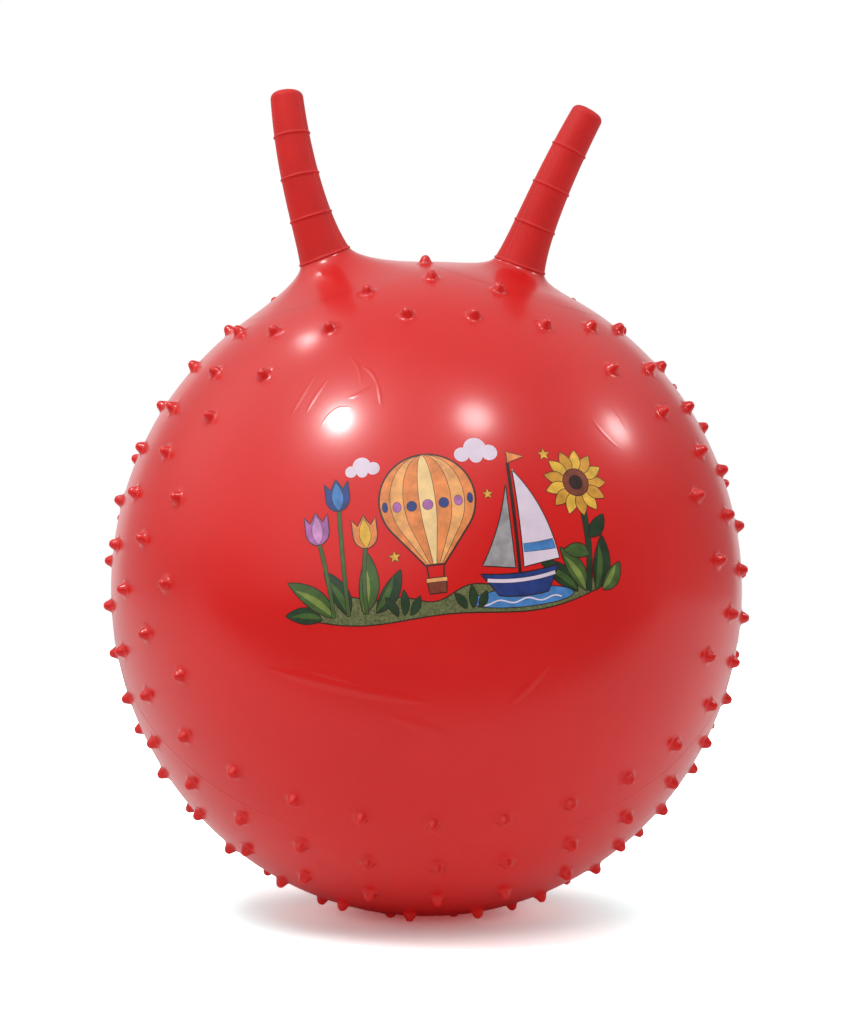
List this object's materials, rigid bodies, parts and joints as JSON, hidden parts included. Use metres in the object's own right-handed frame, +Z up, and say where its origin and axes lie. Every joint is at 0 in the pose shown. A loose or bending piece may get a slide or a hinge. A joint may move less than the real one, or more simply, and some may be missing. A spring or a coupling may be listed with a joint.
{
  "type": "hopper ball",
  "caption": "Inflated ride-on hopper ball with ringed horn grips that flex at their roots, rows of raised nubs over the skin and a push-in air plug low on the back.",
  "frame": {"origin": "on the floor, straight under the middle of the ball", "axes": "+Z up through the crown between the horns, -Y out of the printed front, +X to the right of someone facing that front"},
  "size_m": [0.4593, 0.4551, 0.5764],
  "materials": {
    "skin": "glossy soft red vinyl",
    "horn": "matt soft red vinyl",
    "seat": "satin red vinyl",
    "plug": "satin white plastic"
  },
  "bodies": {
    "ball": {"ball_skin": "skin", "left_neck": "skin", "right_neck": "skin", "crown_nubs": "skin", "lower_nubs": "skin", "foot_nubs": "skin", "valve_seat": "seat"},
    "left_horn": {"left_horn": "horn"},
    "right_horn": {"right_horn": "horn"},
    "valve_plug": {"valve_plug": "plug"}
  },
  "joints": [
    {"name": "left_horn_flex", "type": "hinge", "parent": "ball", "child": "left_horn", "pos_m": [-0.07105, -0.04736, 0.45721], "axis": [0, 0.9833, 0.1822], "range_deg": [-15, 15], "stiffness_Nm_per_rad": 6},
    {"name": "right_horn_flex", "type": "hinge", "parent": "ball", "child": "right_horn", "pos_m": [0.05999, -0.04658, 0.45275], "axis": [0, 0.9724, 0.2334], "range_deg": [-15, 15], "stiffness_Nm_per_rad": 6},
    {"name": "valve_plug_pull", "type": "slide", "parent": "ball", "child": "valve_plug", "axis": [0, 0.74, -0.6726], "range_m": [0, 0.025]}
  ]
}
